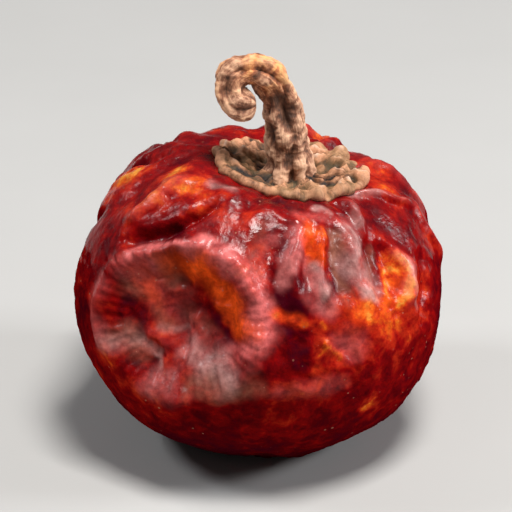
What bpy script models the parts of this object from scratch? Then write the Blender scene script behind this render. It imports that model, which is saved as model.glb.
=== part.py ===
"""A dried gundu chili standing on its flattened base: the round dented pod, the ruffled calyx on its
shoulder and the hooked stem. Blender units are metres, +Z is up and the front of the chili faces -Y."""

import math

import bmesh
import bpy
import numpy as np
from mathutils import Vector
from mathutils.bvhtree import BVHTree

MM = 0.001

# Driving sizes, in millimetres
POD_WIDTH = 28.0
POD_DEPTH = 26.8
POD_HEIGHT = 23.8
FLAT_BASE = 0.9  # how much of the pod's underside has settled flat
CALYX_WIDTH = 11.5
CALYX_DEPTH = 9.6
CALYX_THICKNESS = 0.9
STEM_DIAMETER = 3.4
SEAT_GAP = 0.3  # clearance between neighbouring pieces

# The pod
POD_SQUARENESS = 2.1  # 2 is an ellipsoid, and more has broader shoulders
POD_CENTRE = Vector((0.0, 0.0, POD_HEIGHT / 2 - FLAT_BASE))
POD_RADIUS = POD_WIDTH / 2
LUMP_HEIGHT = 0.3
LUMP_LENGTH = 11.0
LUMP_SEED = 4
DENT_WARP = 0.14  # how far a dent's outline wanders, as a share of its size
DENT_WARP_LENGTH = 6.0
DENT_WARP_SEED = 500
DENT_SOFTNESS = 0.2  # 0 is a knife-sharp rim
POD_DETAIL = 30  # squares along each edge of the cube that the pod starts from

# Where the calyx sits, measured from the pod's centre
CALYX_OFFSET = 2.4
CALYX_TILT = math.radians(9.0)
FUNNEL_DEPTH = 3.6
FUNNEL_WIDTH = 5.0
FUNNEL_STEEPNESS = 3.0

# Each dent: the compass angle from the front towards +X, the angle above the pod's equator, half its length,
# half its width, how far the long way is turned up from level, and its depth. Angles are in degrees and
# lengths in millimetres.
DENTS = (
    (-29, 15, 7.2, 6.2, 8, 3.2),  # the large bowl at the front
    (50, 27, 5.4, 3.6, 75, 0.7),  # the sunken part that the furrows cross
    (-108, 8, 5.2, 6.0, -10, 2.0),  # the sides and the back
    (172, 4, 6.4, 5.0, -35, 2.7),
    (122, 20, 6.0, 3.4, 70, 1.9),
    (-152, 44, 4.6, 2.6, 15, 1.3),
    (150, 46, 4.2, 1.6, 65, 0.9),
    (98, -14, 4.6, 3.6, -10, 1.1),
    (-84, -30, 4.4, 2.6, 12, 0.9),
    (-146, -24, 4.4, 3.6, 70, 1.3),
    (140, -34, 4.4, 2.2, -5, 0.7),
)

# Each fold: its half-width and its height in millimetres, where less than 0 is a furrow, and its course over
# the pod in compass angles and angles above the equator
FOLD_STEPS = 10
FOLD_SPREAD = 1.6  # how much wider the construction's folds are
FOLD_SHARE = 0.6  # and how much lower
FOLD_FADE = 0.25  # the share of a fold at each end that it rises over
FOLDS = (
    (0.7, 0.4, ((-62, 18), (-57, 27), (-45, 36), (-28, 42), (-10, 38))),  # the bowl's rim
    (1.2, 0.6, ((-24, 41), (-8, 37), (-1, 27), (2, 15), (-1, 2), (-10, -6))),
    (1.0, 0.35, ((-3, -2), (-12, -8), (-28, -11), (-46, -10))),
    (0.8, 0.35, ((-50, -8), (-59, 3), (-61, 14), (-57, 26))),
    (1.0, 0.35, ((-8, -8), (4, -5), (14, -4), (26, -6))),  # the roll on from it to the right
    (1.0, 0.55, ((-64, 33), (-61, 45), (-59, 56), (-50, 66))),  # the roll over the bowl
    (0.7, -0.7, ((-62, 29), (-48, 38), (-36, 46), (-29, 54), (-20, 61))),
    (1.0, -0.4, ((-77, 30), (-81, 44), (-86, 56), (-85, 70))),
    (1.4, -0.5, ((4, 50), (7, 34), (8, 20), (10, 7))),  # the furrows and their ridges, from left to right
    (0.8, 0.45, ((23, 50), (15, 39), (12, 30), (14, 20))),
    (0.7, -0.5, ((27, 48), (20, 37), (17, 26))),
    (0.7, 0.6, ((34, 48), (26, 38), (23, 28), (26, 18))),
    (0.8, -0.9, ((42, 48), (33, 37), (31, 28), (33, 18))),
    (0.8, 0.5, ((47, 46), (39, 35), (38, 25), (41, 17))),
    (0.7, -0.6, ((55, 40), (51, 28), (48, 16))),
    (0.7, 0.6, ((58, 36), (62, 27), (61, 18), (52, 9))),
    (0.8, -0.4, ((70, 26), (67, 14), (58, 5))),
    (0.7, 0.5, ((62, 55), (72, 48), (82, 38), (88, 28))),
    (1.0, 0.5, ((100, 62), (106, 46), (102, 30), (106, 14))),  # the sides and the back
    (0.8, -0.6, ((124, 60), (130, 42), (140, 28), (142, 12))),
    (1.0, 0.45, ((160, 66), (162, 46), (152, 30), (154, 14))),
    (0.8, -0.5, ((-172, 62), (-178, 44), (-170, 26))),
    (0.9, 0.45, ((-128, 64), (-134, 44), (-126, 26), (-134, 8))),
    (0.8, -0.6, ((-104, 60), (-108, 42), (-118, 28))),
)

# The calyx
CALYX_RIBS = 11
CALYX_RIB_HEIGHT = 0.16
CALYX_RIB_SWAY = 2.0  # how far the ribs stray sideways
CALYX_THINNING = 0.45  # the share of its thickness that it loses towards the rim
CALYX_RIM_RISE = 0.15
CALYX_LOBES = 5
CALYX_LOBE_LENGTH = 0.25
CALYX_BOSS_HEIGHT = 0.6
CALYX_BOSS_WIDTH = 4.4
CALYX_STEPS = 66
CALYX_RINGS = 7

# The stem
STEM_COURSE = (  # from its foot, to the right, towards the back and up, in millimetres
    (0.0, 0.0, 0.0),
    (0.1, 0.0, 1.0),
    (0.0, 0.05, 2.2),
    (-0.2, 0.1, 3.7),
    (-0.45, 0.1, 5.1),
    (-0.9, 0.0, 6.4),
    (-1.5, -0.1, 7.3),
    (-2.3, -0.3, 7.85),
    (-3.2, -0.5, 7.9),
    (-4.0, -0.75, 7.5),
    (-4.3, -1.0, 6.8),
    (-4.0, -1.2, 6.1),
    (-3.25, -1.35, 5.75),
    (-2.35, -1.4, 5.8),
)
STEM_TIP_DIAMETER = 1.75
STEM_TAPER = 1.8  # 1 is a straight taper, and more thins the stem sooner
STEM_TIP_LENGTH = 0.9  # the length that is rounded off
STEM_TIP_ROUNDING = 0.95  # 1 closes the tip to a point
STEM_FLARE = 0.25  # what the foot adds to the radius
STEM_FLARE_LENGTH = 1.2
STEM_RIBS = 7
STEM_RIB_HEIGHT = 0.07
STEM_SIDES = 28
STEM_RINGS = 44


def clear_scene():
    for obj in list(bpy.data.objects):
        bpy.data.objects.remove(obj, do_unlink=True)


def material(name, colour, roughness):
    made = bpy.data.materials.new(name)
    made.use_nodes = True
    shader = made.node_tree.nodes["Principled BSDF"]
    shader.inputs["Base Color"].default_value = (*colour, 1.0)
    shader.inputs["Roughness"].default_value = roughness
    return made


def add_object(name, bm, finish):
    """Makes the object, turning its millimetres into metres."""
    bmesh.ops.recalc_face_normals(bm, faces=bm.faces)
    bmesh.ops.scale(bm, vec=(MM, MM, MM), verts=bm.verts)
    mesh = bpy.data.meshes.new(name)
    bm.to_mesh(mesh)
    bm.free()
    mesh.shade_smooth()
    mesh.materials.append(finish)
    obj = bpy.data.objects.new(name, mesh)
    bpy.context.scene.collection.objects.link(obj)
    return obj


def lumps(points, length, seed, waves=18):
    """A smooth random height from about -1 to 1 at each point, whose bumps are about length apart."""
    random = np.random.default_rng(seed)
    ways = random.normal(size=(waves, 3))
    ways /= np.linalg.norm(ways, axis=1)[:, None]
    ways *= random.uniform(0.7, 1.3, (waves, 1)) * 2 * math.pi / length
    starts = random.uniform(0, 2 * math.pi, waves)
    return np.sin(points @ ways.T + starts).sum(axis=1) * math.sqrt(2 / waves) / 2


def compass(azimuth, elevation):
    """The unit direction at these angles in degrees, from the front towards +X and above the equator."""
    a, e = math.radians(azimuth), math.radians(elevation)
    return np.array((math.sin(a) * math.cos(e), -math.cos(a) * math.cos(e), math.sin(e)))


def smooth(low, high, values):
    share = np.clip((values - low) / (high - low), 0.0, 1.0)
    return share * share * (3 - 2 * share)


def smooth_course(course, count):
    """Points evenly spaced along a smooth curve through the course's points."""
    course = np.array(course)
    knots = np.concatenate([2 * course[:1] - course[1:2], course, 2 * course[-1:] - course[-2:-1]])
    share = np.linspace(0.0, 1.0, 20, endpoint=False)[:, None]
    pieces = []
    for before, start, end, after in zip(knots, knots[1:], knots[2:], knots[3:]):
        bend = 2 * before - 5 * start + 4 * end - after
        twist = 3 * start - before - 3 * end + after
        pieces.append(start + share / 2 * (end - before + share * (bend + share * twist)))
    fine = np.concatenate([*pieces, course[-1:]])
    lengths = np.concatenate([[0.0], np.cumsum(np.linalg.norm(np.diff(fine, axis=0), axis=1))])
    along = np.linspace(0.0, lengths[-1], count)
    return np.stack([np.interp(along, lengths, axis) for axis in fine.T], axis=1)


def dent_depth(ways, dent):
    """How far this dent pushes the pod's skin in, along each unit direction in ways."""
    azimuth, elevation, length, width, turn, depth = dent
    middle = compass(azimuth, elevation)
    right = compass(azimuth + 90, 0)
    top = np.cross(middle, right)
    angle = np.arccos(np.clip(ways @ middle, -1, 1))
    x, y = ways @ right, ways @ top
    spread = POD_RADIUS * angle / np.maximum(np.hypot(x, y), 1e-9)
    x, y = x * spread, y * spread
    turn = math.radians(turn)
    along = x * math.cos(turn) + y * math.sin(turn)
    beside = y * math.cos(turn) - x * math.sin(turn)
    wander = 1 + DENT_WARP * lumps(ways * POD_RADIUS, DENT_WARP_LENGTH, seed=DENT_WARP_SEED + azimuth)
    inside = 1 - (np.hypot(along / length, beside / width) * wander) ** 2
    return depth * (inside + np.sqrt(inside**2 + DENT_SOFTNESS**2)) / 2


def fold_height(ways, width, height, course):
    """How far this fold lifts the pod's skin, along each unit direction in ways."""
    line = smooth_course([compass(*corner) * POD_RADIUS for corner in course], FOLD_STEPS)
    points = ways * POD_RADIUS
    nearest = np.full(len(points), np.inf)
    share = np.zeros(len(points))
    for number, (start, end) in enumerate(zip(line, line[1:])):
        step = end - start
        part = np.clip((points - start) @ step / (step @ step), 0.0, 1.0)
        away = np.linalg.norm(points - start - part[:, None] * step, axis=1)
        share = np.where(away < nearest, (number + part) / (FOLD_STEPS - 1), share)
        nearest = np.minimum(nearest, away)
    fade = smooth(0.0, FOLD_FADE, share) * smooth(1.0, 1.0 - FOLD_FADE, share)
    return height * FOLD_SHARE * fade * np.exp(-((nearest / width / FOLD_SPREAD) ** 2))


def calyx_seat():
    """The middle of the calyx's seat and its outward direction, in millimetres from the pod's centre."""
    outward = Vector((math.sin(CALYX_TILT), 0.0, math.cos(CALYX_TILT)))
    top = POD_HEIGHT / 2 * math.sqrt(1 - (CALYX_OFFSET / POD_RADIUS) ** 2)
    return Vector((CALYX_OFFSET, 0.0, top)), outward


def pod_points(ways):
    """Where the pod's skin is along each unit direction, in millimetres, with the settled base at z = 0."""
    sides = np.array((POD_WIDTH, POD_DEPTH, POD_HEIGHT)) / 2
    reach = (np.abs(ways / sides) ** POD_SQUARENESS).sum(axis=1) ** (-1 / POD_SQUARENESS)
    reach += LUMP_HEIGHT * lumps(ways * POD_RADIUS, LUMP_LENGTH, LUMP_SEED)
    for dent in DENTS:
        reach -= dent_depth(ways, dent)
    for width, height, course in FOLDS:
        reach += fold_height(ways, width, height, course)
    seat, _ = calyx_seat()
    from_seat = np.linalg.norm(ways * seat.length - np.array(seat), axis=1)
    reach -= FUNNEL_DEPTH * np.exp(-((from_seat / FUNNEL_WIDTH) ** FUNNEL_STEEPNESS))
    points = ways * reach[:, None] + np.array(POD_CENTRE)
    points[:, 2] = np.maximum(points[:, 2], 0.0)
    return points


def sphere(detail):
    """A unit sphere made of even squares, from a cube that is cut up and blown out."""
    bm = bmesh.new()
    bmesh.ops.create_cube(bm, size=2.0)
    bmesh.ops.subdivide_edges(bm, edges=bm.edges, cuts=detail - 1, use_grid_fill=True)
    for vert in bm.verts:
        vert.co = Vector(math.tan(c * math.pi / 4) for c in vert.co).normalized()
    return bm


def make_pod(finish):
    bm = sphere(POD_DETAIL)
    points = pod_points(np.array([vert.co for vert in bm.verts]))
    for vert, point in zip(bm.verts, points):
        vert.co = point
    return add_object("pod", bm, finish)


def calyx_frame():
    """The calyx's place on the pod and its own X, Y and outward directions, in millimetres."""
    seat, outward = calyx_seat()
    right = Vector((outward.z, 0.0, -outward.x))
    centre = POD_CENTRE + seat - outward * FUNNEL_DEPTH
    return centre, right, outward.cross(right), outward


def skin_height(tree, centre, outward, point):
    """How high the pod's skin stands over the calyx's own base plane at this point."""
    start = point + outward * POD_HEIGHT
    hit = tree.ray_cast(start * MM, -outward)[0]
    return (hit / MM - centre).dot(outward)


def make_calyx(pod, finish):
    """A thin ruffled saucer that follows the pod's shoulder, with a boss in the middle for the stem."""
    tree = BVHTree.FromObject(pod, bpy.context.evaluated_depsgraph_get())
    centre, right, across, outward = calyx_frame()
    bm = bmesh.new()
    layers = ([], [])
    for ring in range(CALYX_RINGS + 1):
        share = ring / CALYX_RINGS
        rows = ([], [])
        for step in range(CALYX_STEPS if ring else 1):
            angle = 2 * math.pi * step / CALYX_STEPS
            lobe = CALYX_LOBE_LENGTH * math.cos(CALYX_LOBES * angle)
            radius = share * (CALYX_WIDTH / 2 - CALYX_LOBE_LENGTH + lobe)
            sideways = across * math.sin(angle) * CALYX_DEPTH / CALYX_WIDTH
            point = centre + (right * math.cos(angle) + sideways) * radius
            floor = skin_height(tree, centre, outward, point) + SEAT_GAP
            sway = CALYX_RIB_SWAY * math.sin(3 * angle)
            rib = CALYX_RIB_HEIGHT * share * math.cos(CALYX_RIBS * angle + sway)
            boss = CALYX_BOSS_HEIGHT * math.exp(-((radius / (CALYX_BOSS_WIDTH / 2)) ** 4))
            low = floor + CALYX_RIM_RISE * share**4 + (rib + CALYX_RIB_HEIGHT) * share
            high = low + CALYX_THICKNESS * (1 - CALYX_THINNING * share) + boss
            rows[0].append(bm.verts.new(point + outward * low))
            rows[1].append(bm.verts.new(point + outward * high))
        layers[0].append(rows[0])
        layers[1].append(rows[1])
    for rows in layers:
        for inner, outer in zip(rows, rows[1:]):
            for step in range(CALYX_STEPS):
                after = (step + 1) % CALYX_STEPS
                if len(inner) == 1:
                    bm.faces.new((inner[0], outer[step], outer[after]))
                else:
                    bm.faces.new((inner[step], outer[step], outer[after], inner[after]))
    below, above = layers[0][-1], layers[1][-1]
    for step in range(CALYX_STEPS):
        after = (step + 1) % CALYX_STEPS
        bm.faces.new((below[step], below[after], above[after], above[step]))
    return add_object("calyx", bm, finish)


def stem_radius(along, length):
    """The stem's mean radius this many millimetres above its foot."""
    slimmer = (STEM_DIAMETER - STEM_TIP_DIAMETER) / 2 * (1 - along / length) ** STEM_TAPER
    flare = STEM_FLARE * math.exp(-((along / STEM_FLARE_LENGTH) ** 2))
    rounded = max(0.0, 1 - (length - along) / STEM_TIP_LENGTH)
    return (STEM_TIP_DIAMETER / 2 + slimmer + flare) * math.sqrt(1 - (STEM_TIP_ROUNDING * rounded) ** 2)


def make_stem(calyx, finish):
    tree = BVHTree.FromObject(calyx, bpy.context.evaluated_depsgraph_get())
    centre, _, _, outward = calyx_frame()
    foot = centre + outward * (skin_height(tree, centre, outward, centre) + SEAT_GAP)
    points = smooth_course(STEM_COURSE, STEM_RINGS)
    step = np.linalg.norm(points[1] - points[0])
    headings = np.gradient(points, axis=0)
    headings[0] = outward
    sideways = Vector((0.0, 1.0, 0.0))
    bm = bmesh.new()
    rings = []
    for number, (point, heading) in enumerate(zip(points, headings)):
        heading = Vector(heading).normalized()
        sideways = (sideways - heading * sideways.dot(heading)).normalized()
        other = heading.cross(sideways)
        mean = stem_radius(number * step, step * (STEM_RINGS - 1))
        ring = []
        for side in range(STEM_SIDES):
            angle = 2 * math.pi * side / STEM_SIDES
            radius = mean + STEM_RIB_HEIGHT * math.cos(STEM_RIBS * angle)
            spoke = sideways * math.cos(angle) + other * math.sin(angle)
            ring.append(bm.verts.new(foot + Vector(point) + spoke * radius))
        rings.append(ring)
    for lower, upper in zip(rings, rings[1:]):
        for side in range(STEM_SIDES):
            after = (side + 1) % STEM_SIDES
            bm.faces.new((lower[side], lower[after], upper[after], upper[side]))
    bm.faces.new(reversed(rings[0]))
    bm.faces.new(rings[-1])
    return add_object("stem", bm, finish)


def main():
    clear_scene()
    pod = make_pod(material("pod_skin", (0.24, 0.012, 0.01), 0.35))
    calyx = make_calyx(pod, material("calyx_husk", (0.19, 0.12, 0.07), 0.8))
    make_stem(calyx, material("stem_bark", (0.38, 0.24, 0.12), 0.75))


main()
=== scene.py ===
"""The looks of a dried gundu chili: the dented and crumpled red pod, its ruffled calyx and its hooked
stem, on a pale floor in soft studio light. Shapes are worked out in millimetres, with the front of the
chili facing -Y."""

import math

import bmesh
import bpy
import numpy as np
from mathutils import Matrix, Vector
from mathutils.bvhtree import BVHTree


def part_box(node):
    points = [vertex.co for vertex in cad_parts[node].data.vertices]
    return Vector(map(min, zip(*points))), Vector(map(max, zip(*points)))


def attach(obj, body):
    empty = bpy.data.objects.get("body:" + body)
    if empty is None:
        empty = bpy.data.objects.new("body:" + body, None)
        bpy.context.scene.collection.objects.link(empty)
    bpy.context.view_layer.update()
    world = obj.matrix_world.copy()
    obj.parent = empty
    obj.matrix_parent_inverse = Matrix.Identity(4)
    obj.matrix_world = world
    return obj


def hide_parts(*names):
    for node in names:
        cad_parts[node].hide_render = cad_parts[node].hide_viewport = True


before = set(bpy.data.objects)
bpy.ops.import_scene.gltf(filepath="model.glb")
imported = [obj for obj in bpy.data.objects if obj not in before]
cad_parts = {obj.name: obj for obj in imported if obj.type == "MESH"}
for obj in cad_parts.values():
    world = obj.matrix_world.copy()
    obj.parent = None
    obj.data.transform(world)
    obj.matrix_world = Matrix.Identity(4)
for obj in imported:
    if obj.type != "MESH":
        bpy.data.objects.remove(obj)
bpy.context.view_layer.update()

MM = 0.001

# The pod, as the construction has it
POD_WIDTH = 28.0
POD_DEPTH = 26.8
POD_HEIGHT = 23.8
FLAT_BASE = 0.9
POD_SQUARENESS = 2.1
POD_RADIUS = POD_WIDTH / 2
LUMP_HEIGHT = 0.3
LUMP_LENGTH = 11.0
LUMP_SEED = 4
CALYX_OFFSET = 2.4
CALYX_TILT = math.radians(9.0)
FUNNEL_DEPTH = 3.6
FUNNEL_WIDTH = 5.0
FUNNEL_STEEPNESS = 3.0

# Its dents: compass angle from the front towards +X, angle above the equator, half-length, half-width,
# how far the long way is turned up from level, and depth, in degrees and millimetres
DENT_WARP = 0.14
DENT_WARP_LENGTH = 6.0
DENT_WARP_SEED = 500
DENT_SOFTNESS = 0.2
DENTS = (
    (-29, 15, 7.2, 6.2, 8, 3.2),  # the large bowl at the front
    (-38, -2, 1.6, 1.2, 20, 0.3),  # a pit inside it
    (-31, 29, 1.3, 1.5, 0, 0.35),
    (50, 27, 5.4, 3.6, 75, 0.5),  # the sunken part that the furrows cross
    (29, 7, 2.2, 1.4, 20, 0.4),  # the shallow hollows under it
    (10, 9, 1.5, 1.1, 40, 0.35),
    (-108, 8, 5.2, 6.0, -10, 2.0),  # the sides and the back
    (172, 4, 6.4, 5.0, -35, 2.7),
    (122, 20, 6.0, 3.4, 70, 1.9),
    (-152, 44, 4.6, 2.6, 15, 1.3),
    (150, 46, 4.2, 1.6, 65, 0.9),
    (98, -14, 4.6, 3.6, -10, 1.1),
    (-84, -30, 4.4, 2.6, 12, 0.9),
    (-146, -24, 4.4, 3.6, 70, 1.3),
    (140, -34, 4.4, 2.2, -5, 0.7),
)

# Its folds: half-width, height, where less than 0 is a furrow, and the course over the pod in compass
# angles and angles above the equator
FOLD_STEPS = 14
FOLD_FADE = 0.25  # the share of a fold at each end that it rises over
FOLD_MEANDER = 0.5
FOLD_MEANDER_LENGTH = 2.6
FOLD_UNEVENNESS = 0.3  # how much its height varies along it
FOLD_UNEVENNESS_LENGTH = 1.6
FOLDS = (
    (0.7, 0.5, ((-61, 16), (-55, 26), (-44, 34), (-28, 39), (-11, 36))),  # the bowl's rim
    (1.1, 0.65, ((-30, 39), (-12, 36), (-4, 27), (-1, 15), (-4, 3), (-12, -5))),
    (0.4, -0.25, ((-24, 33), (-14, 29), (-8, 20), (-8, 8))),
    (0.8, 0.35, ((-3, -2), (-12, -8), (-28, -11), (-46, -10))),
    (0.6, 0.35, ((-50, -8), (-59, 3), (-61, 14), (-57, 26))),
    (0.8, 0.3, ((-8, -8), (4, -5), (14, -4), (26, -6))),  # the roll on from it to the right
    (0.9, 0.65, ((-64, 33), (-61, 45), (-59, 56), (-50, 66))),  # the roll over the bowl
    (0.5, -0.85, ((-62, 29), (-48, 38), (-36, 46), (-29, 54), (-20, 61))),
    (0.9, -0.4, ((-77, 30), (-81, 44), (-86, 56), (-85, 70))),
    (0.45, -0.22, ((-33, 18), (-30, 9), (-27, -1))),  # inside the bowl
    (0.6, 0.2, ((-58, 4), (-46, 6), (-35, 3), (-31, -9))),
    (0.5, 0.3, ((-27, 19), (-23, 8), (-26, -3))),
    (1.4, -0.5, ((4, 50), (7, 34), (8, 20), (10, 7))),  # the furrows and their ridges, from left to right
    (0.7, 0.45, ((23, 50), (15, 39), (12, 30), (14, 20))),
    (0.6, -0.4, ((27, 48), (20, 37), (17, 26))),
    (0.55, 0.5, ((34, 48), (26, 38), (23, 28), (26, 18))),
    (0.9, -0.45, ((42, 48), (33, 37), (31, 28), (33, 18))),
    (0.75, 0.4, ((47, 46), (39, 35), (38, 25), (41, 17))),
    (0.55, -0.35, ((49, 38), (46, 28), (44, 18))),
    (0.7, -0.4, ((55, 36), (53, 26), (50, 16))),
    (0.6, 0.55, ((56, 36), (60, 27), (59, 18), (51, 9))),
    (0.7, -0.4, ((70, 26), (67, 14), (58, 5))),
    (0.25, 0.2, ((18, 14), (24, 7), (31, 0))),
    (0.25, 0.2, ((36, 12), (32, 5), (33, -3))),
    (0.45, 0.5, ((62, 55), (72, 48), (82, 38), (88, 28))),
    (0.35, 0.4, ((56, 54), (53, 45), (50, 36))),
    (1.0, 0.5, ((100, 62), (106, 46), (102, 30), (106, 14))),  # the sides and the back
    (0.7, -0.7, ((124, 60), (130, 42), (140, 28), (142, 12))),
    (0.9, 0.5, ((160, 66), (162, 46), (152, 30), (154, 14))),
    (0.7, -0.6, ((-172, 62), (-178, 44), (-170, 26))),
    (0.8, 0.5, ((-128, 64), (-134, 44), (-126, 26), (-134, 8))),
    (0.7, -0.7, ((-104, 60), (-108, 42), (-118, 28))),
    (0.5, 0.4, ((92, 40), (86, 22), (94, 6))),
    (0.5, -0.5, ((112, 10), (120, -8), (134, -20))),
    (0.5, 0.4, ((-150, 20), (-164, 10), (-178, -4))),
    (0.5, -0.5, ((-86, 34), (-92, 16), (-88, -4))),
)

# What colours the skin, as strokes: half-width, strength, and the course over the pod as for the folds.
# Ripe turns from red towards amber, or for less than 0 towards purple-black. Blush is dusty pink, partly
# the skin's own colour and partly painted highlight along the ridges; bloom is painted sheen, pale lilac,
# with painted glints; husk is the brown of skin worn thin, and ember bright orange-red.
PATCH_WARP = 1.0
PATCH_WARP_LENGTH = 2.2
PATCH_STEPS = 7
PATCH_REACH = 1.9  # in times the half-width, where a stroke has faded out
PATCH_CORE = 0.1  # and where it is as strong as it gets
RIPE_PATCHES = (
    (0.9, 0.12, ((-27, 34), (-21, 30), (-13, 25), (-8, 19), (-5, 14))),  # the orange band in the bowl
    (0.7, -0.3, ((-53, 14), (-51, 10), (-47, 8))),
    (0.6, -0.2, ((-22, 20), (-17, 15), (-12, 9))),
    (0.6, -0.3, ((-44, -4), (-39, -6))),
    (1.0, 0.08, ((-63, 33), (-55, 53))),  # on the roll
    (0.9, 0.3, ((-46, 57), (-46, 61))),
    (0.7, 0.4, ((-83, 62), (-75, 62))),
    (1.3, 0.18, ((-30, 52), (-12, 52))),
    (0.8, -0.2, ((-14, 55), (-8, 55))),
    (1.0, 0.22, ((0, 36), (0, 38))),
    (0.55, 0.35, ((-73, 56), (-76, 58))),
    (0.7, 0.42, ((23, 45), (22, 39))),  # around the furrows
    (0.45, 0.3, ((30, 44), (28, 37), (27, 30))),
    (0.7, 0.45, ((54, 28), (52, 23), (49, 20))),
    (0.4, 0.4, ((58, 29), (59, 23), (57, 17), (52, 14))),
    (1.3, 0.32, ((35, 19), (43, 15), (50, 8))),
    (0.6, 0.3, ((37, 13),)),
    (1.0, 0.27, ((68, 17), (63, 9))),
    (0.6, 0.45, ((7, 20), (12, 17))),
    (0.4, 0.35, ((21, 16),)),
    (0.6, 0.3, ((20, 9), (25, 5))),
    (0.7, -0.4, ((10, 28), (12, 22))),
    (0.9, -0.3, ((10, 14), (13, 8))),
    (0.5, -0.25, ((53, 7), (48, 3))),
    (0.9, -0.22, ((11, 58), (35, 58))),
    (0.8, 0.5, ((37, -16),)),  # low down and at the edges
    (1.6, -0.1, ((33, -9), (47, -3))),
    (1.6, -0.2, ((-71, 2), (-69, 26))),
    (1.6, 0.22, ((82, 46), (94, 46))),
    (1.4, 0.4, ((109, 18), (115, 34))),  # the sides and the back
    (1.4, 0.36, ((125, -6), (131, -2))),
    (1.6, 0.42, ((152, 33), (164, 27))),
    (1.2, 0.4, ((-172, 1), (-160, 15))),
    (1.8, -0.35, ((-143, 34), (-137, 34))),
    (1.4, 0.42, ((-126, 6), (-118, 18))),
    (1.2, 0.36, ((-97, 35), (-95, 45))),
    (1.6, -0.3, ((172, -22), (184, -22))),
    (1.4, -0.35, ((83, -6), (85, -2))),
)
# Dusty pink, partly the skin's own colour and partly painted highlight along the bowl's rim and the ridges
BLUSH_AND_SHEEN_PATCHES = (
    (0.4, 0.9, ((-54, 30), (-48, 34), (-41, 37), (-32, 40), (-23, 41))),  # along the bowl's rim
    (0.7, 0.75, ((-31, 38), (-23, 39), (-16, 37), (-12, 34))),
    (0.9, 0.95, ((-10, 38), (-3, 32), (0, 26), (1, 18), (0, 12))),
    (0.6, 0.4, ((-61, 17), (-61, 8), (-58, 2))),
    (1.6, 0.3, ((-44, 22), (-34, 16), (-26, 8))),
    (0.8, 0.45, ((-56, 25), (-45, 31))),
    (0.8, 0.2, ((-38, -10), (-28, -8))),
    (0.7, 0.5, ((-11, 6), (-4, 9))),
    (0.6, 0.85, ((17, 47), (14, 38), (11, 31))),  # around the furrows
    (0.6, 0.4, ((19, 24), (25, 20))),
    (0.35, 0.8, ((20, 36), (21, 31), (22, 27))),
    (0.8, 0.45, ((26, 10), (32, 7))),
    (0.35, 0.6, ((58, 29), (59, 22), (56, 16))),
    (0.5, 0.4, ((24, 52), (39, 48), (48, 42))),
    (0.45, 0.6, ((2, 41), (7, 44))),
    (0.8, 0.6, ((-127, 14), (-105, 30))),  # the sides and the back
    (0.9, 0.6, ((146, 24), (174, 28))),
    (1.0, 0.5, ((114, 32), (122, 48))),
    (1.0, 0.35, ((-183, -18), (-157, -14))),
)
# Painted sheen: pale lilac patches and streaks of painted reflection and painted glints, laid on as
# strokes
PAINTED_SHEEN_PATCHES = (
    (1.0, 0.9, ((-25, 3), (-18, 1), (-11, 0))),  # in the bowl
    (0.7, 0.7, ((-55, 0), (-47, 2))),
    (0.5, 0.65, ((-44, 4), (-38, -1))),
    (0.35, 0.6, ((-38, -3), (-36, -5))),
    (0.8, 0.3, ((-36, -9), (-30, -7))),
    (0.35, 0.5, ((-38, 9), (-31, 9))),
    (0.8, 1.0, ((38, 33), (40, 27), (43, 24))),  # around the furrows
    (0.55, 1.1, ((43, 41), (41, 35))),
    (0.32, 1.0, ((23, 33), (23, 29), (24, 26))),
    (0.5, 0.3, ((22, 24), (26, 21))),
    (0.4, 1.4, ((38, 23), (40, 21))),
    (0.5, 0.35, ((13, 37), (11, 31))),
    (0.25, 1.0, ((36, 53), (42, 50))),
    (0.35, 0.6, ((59, 12), (61, 26))),
    (0.4, 0.9, ((64, 52), (84, 40))),  # by the calyx
    (0.4, 0.7, ((52, 43), (54, 49))),
    (0.5, 0.8, ((-40, 63), (-20, 63))),
    (0.7, 0.14, ((6, -4), (26, -4))),
    (1.0, 0.7, ((127, 23), (133, 37))),  # the sides and the back
    (1.5, 0.45, ((163, 12), (170, 8))),
    (1.4, 0.4, ((-118, 2), (-110, 8))),
    (1.0, 0.6, ((-155, 40), (-145, 40))),
    (1.1, 0.35, ((95, -12), (103, -9))),
)
HUSK_PATCHES = (
    (0.9, 0.6, ((-40, 29), (-35, 26))),  # in the bowl
    (0.9, 0.3, ((-29, 15), (-21, 12))),
    (0.6, 0.6, ((-41, 14), (-37, 10))),
    (0.8, 0.7, ((-53, 4), (-47, 3), (-43, -1))),
    (0.7, 0.5, ((-53, 20), (-49, 18))),
    (0.8, 0.8, ((-20, -5), (-11, -4), (-2, -2))),  # under the bowl
    (0.5, 0.95, ((36, 41), (32, 34), (32, 26), (32, 22))),  # in the furrows
    (0.35, 0.6, ((49, 33), (45, 27))),
    (0.5, 0.4, ((2, 50), (-1, 36))),
    (1.6, 0.45, ((172, 8), (178, 0))),  # the sides and the back
    (1.5, 0.6, ((-116, 2), (-108, 10))),
    (1.0, 0.5, ((-134, -22), (-150, -26))),
    (1.0, 0.5, ((120, 14), (126, 28))),
)
EMBER_PATCHES = (
    (0.95, 1.2, ((-25, 33), (-19, 29), (-12, 24), (-8, 19), (-6, 17))),  # the band in the bowl
    (0.5, 0.35, ((6, 21), (12, 18))),  # beside it and in the furrows
    (0.65, 0.8, ((24, 47), (23, 42), (24, 36))),
    (1.0, 0.4, ((34, 17), (45, 16), (53, 18))),
    (0.8, 0.5, ((-39, 31), (-33, 33))),
    (0.8, 0.3, ((-48, 24), (-44, 18))),
)
PATCHES = {
    "ripe": RIPE_PATCHES,
    "blush_and_sheen": BLUSH_AND_SHEEN_PATCHES,
    "painted_sheen": PAINTED_SHEEN_PATCHES,
    "husk": HUSK_PATCHES,
    "ember": EMBER_PATCHES,
}

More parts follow.
